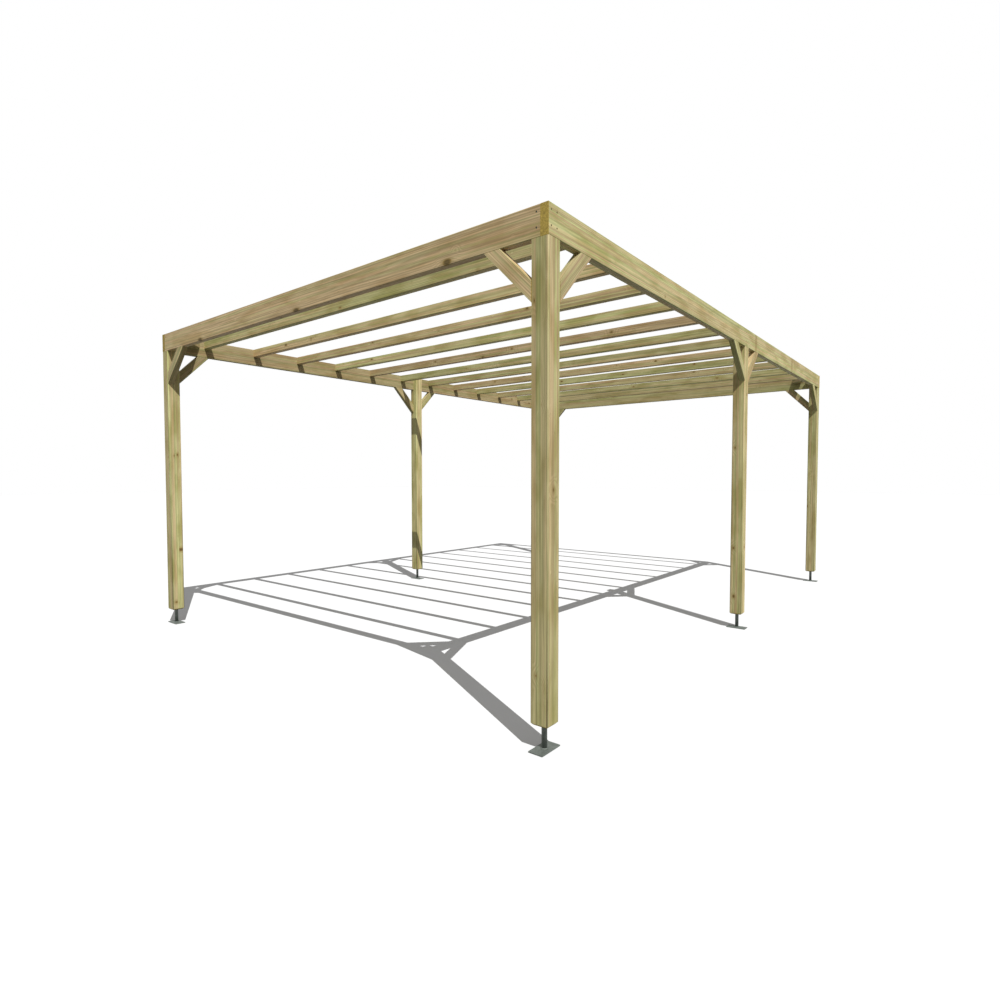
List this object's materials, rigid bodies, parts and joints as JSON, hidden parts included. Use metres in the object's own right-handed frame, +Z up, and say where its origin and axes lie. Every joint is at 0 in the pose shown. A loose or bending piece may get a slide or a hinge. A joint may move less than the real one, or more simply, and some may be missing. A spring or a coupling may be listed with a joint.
{
  "type": "freestanding pergola",
  "caption": "Open rectangular timber pergola: square posts on steel feet carry a rim of beams with parallel rafters between the sides, 45 degree braces at the posts and flat braces across the corners.",
  "frame": {"origin": "on the ground at the middle of the footprint", "axes": "+X across to the right side, +Y along the long side from front to back, +Z up"},
  "size_m": [4.015, 5.87, 2.475],
  "materials": {
    "post_pine": "planed, pressure-treated pine with green and tan streaks",
    "beam_pine": "planed, pressure-treated pine with long fine grain and knots",
    "rafter_pine": "planed, pressure-treated pine, alternately greenish and pinkish tan",
    "brace_pine": "planed, pressure-treated pine, mitred at both ends",
    "galvanised_steel": "dull, dark weathered galvanised steel"
  },
  "bodies": {
    "root": {"front_left_post": "post_pine", "front_right_post": "post_pine", "middle_left_post": "post_pine", "middle_right_post": "post_pine", "back_left_post": "post_pine", "back_right_post": "post_pine", "front_left_foot": "galvanised_steel", "front_right_foot": "galvanised_steel", "middle_left_foot": "galvanised_steel", "middle_right_foot": "galvanised_steel", "back_left_foot": "galvanised_steel", "back_right_foot": "galvanised_steel", "front_beam": "beam_pine", "back_beam": "beam_pine", "left_beam": "beam_pine", "right_beam": "beam_pine", "rafter_01": "rafter_pine", "rafter_02": "rafter_pine", "rafter_03": "rafter_pine", "rafter_04": "rafter_pine", "rafter_05": "rafter_pine", "rafter_06": "rafter_pine", "rafter_07": "rafter_pine", "rafter_08": "rafter_pine", "rafter_09": "rafter_pine", "rafter_10": "rafter_pine", "rafter_11": "rafter_pine", "rafter_12": "rafter_pine", "front_left_cross_brace": "brace_pine", "front_left_side_brace": "brace_pine", "front_right_cross_brace": "brace_pine", "front_right_side_brace": "brace_pine", "middle_left_fore_brace": "brace_pine", "middle_left_aft_brace": "brace_pine", "middle_right_fore_brace": "brace_pine", "middle_right_aft_brace": "brace_pine", "back_left_cross_brace": "brace_pine", "back_left_side_brace": "brace_pine", "back_right_cross_brace": "brace_pine", "back_right_side_brace": "brace_pine", "front_left_corner_brace": "brace_pine", "front_right_corner_brace": "brace_pine", "back_left_corner_brace": "brace_pine", "back_right_corner_brace": "brace_pine"}
  },
  "joints": []
}
